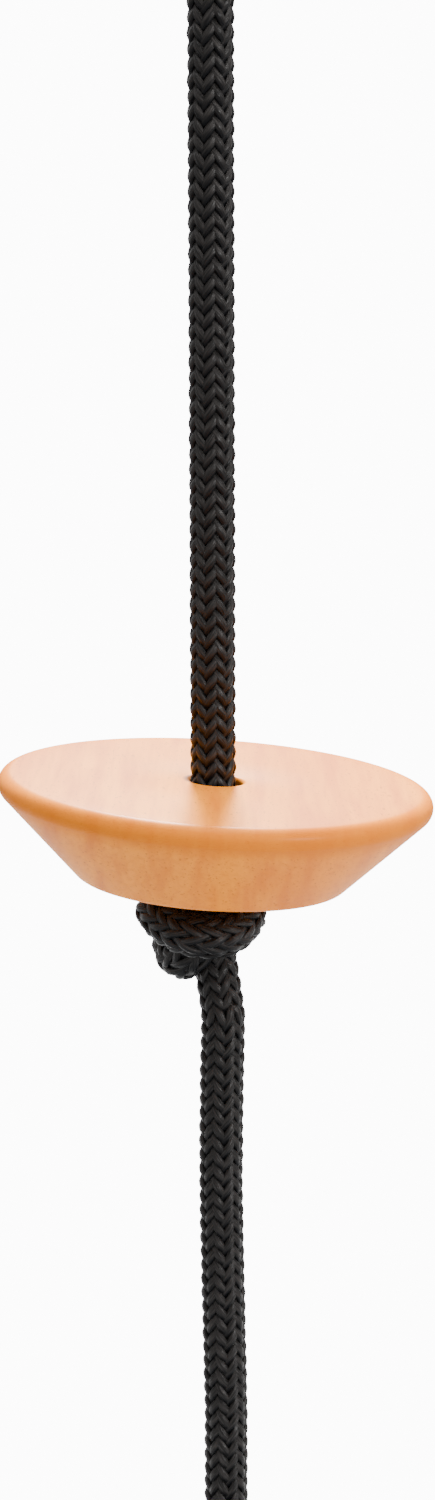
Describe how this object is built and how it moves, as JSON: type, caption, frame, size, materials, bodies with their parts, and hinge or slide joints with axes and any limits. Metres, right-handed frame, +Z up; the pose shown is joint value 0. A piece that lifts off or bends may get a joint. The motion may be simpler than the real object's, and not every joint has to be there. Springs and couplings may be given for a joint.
{
  "type": "disc climbing rope",
  "caption": "Turned wooden disc on a black braided rope, held by an overhand knot, hung from a snap hook by an eye with thimble and ferrule.",
  "frame": {"origin": "inside of the top of the snap hook, where the bar that carries the hook bears", "axes": "+Z up, against the load; the hook lies in the XZ plane with its gate towards +X; the viewer stands towards -Y"},
  "size_m": [0.1198, 0.12, 0.671],
  "materials": {
    "hook_steel": "satin",
    "pin_steel": "satin",
    "spring_steel": "satin",
    "thimble_steel": "satin",
    "ferrule_alloy": "satin",
    "rope_fibre": "matte",
    "cap_sleeve": "satin",
    "beech": "gloss"
  },
  "bodies": {
    "hook": {"hook_body": "hook_steel"},
    "gate": {"gate": "hook_steel", "gate_hinge_pin": "pin_steel", "gate_latch_pin": "pin_steel", "gate_spring": "spring_steel", "gate_plunger": "pin_steel"},
    "eye": {"thimble": "thimble_steel", "ferrule": "ferrule_alloy", "rope_eye": "rope_fibre", "eye_end_cap": "cap_sleeve"},
    "rope": {"rope_upper": "rope_fibre"},
    "knot": {"disc_knot": "rope_fibre"},
    "disc": {"disc": "beech"},
    "tail": {"rope_lower": "rope_fibre", "end_knot": "rope_fibre", "rope_tip": "rope_fibre", "rope_end_cap": "cap_sleeve"}
  },
  "joints": [
    {"name": "gate_open", "type": "hinge", "parent": "hook", "child": "gate", "pos_m": [0.023, 0, -0.057], "axis": [0, -1, 0], "range_deg": [0, 28], "stiffness_Nm_per_rad": 0.15, "springref_deg": -28.65},
    {"name": "eye_swing", "type": "hinge", "parent": "hook", "child": "eye", "pos_m": [0, 0, -0.085], "axis": [1, 0, 0], "range_deg": [-60, 60]},
    {"name": "rope_sway", "type": "hinge", "parent": "eye", "child": "rope", "pos_m": [0, 0, -0.1748], "axis": [0, 1, 0], "range_deg": [-25, 25]},
    {"name": "rope_twist", "type": "hinge", "parent": "rope", "child": "knot", "pos_m": [0, 0, -0.4208], "axis": [0, 0, 1], "range_deg": [-180, 180]},
    {"name": "disc_lift", "type": "slide", "parent": "knot", "child": "disc", "axis": [0, 0, 1], "range_m": [0, 0.2]},
    {"name": "tail_sway", "type": "hinge", "parent": "knot", "child": "tail", "pos_m": [0.001, 0, -0.4491], "axis": [0, 1, 0], "range_deg": [-40, 40]}
  ]
}
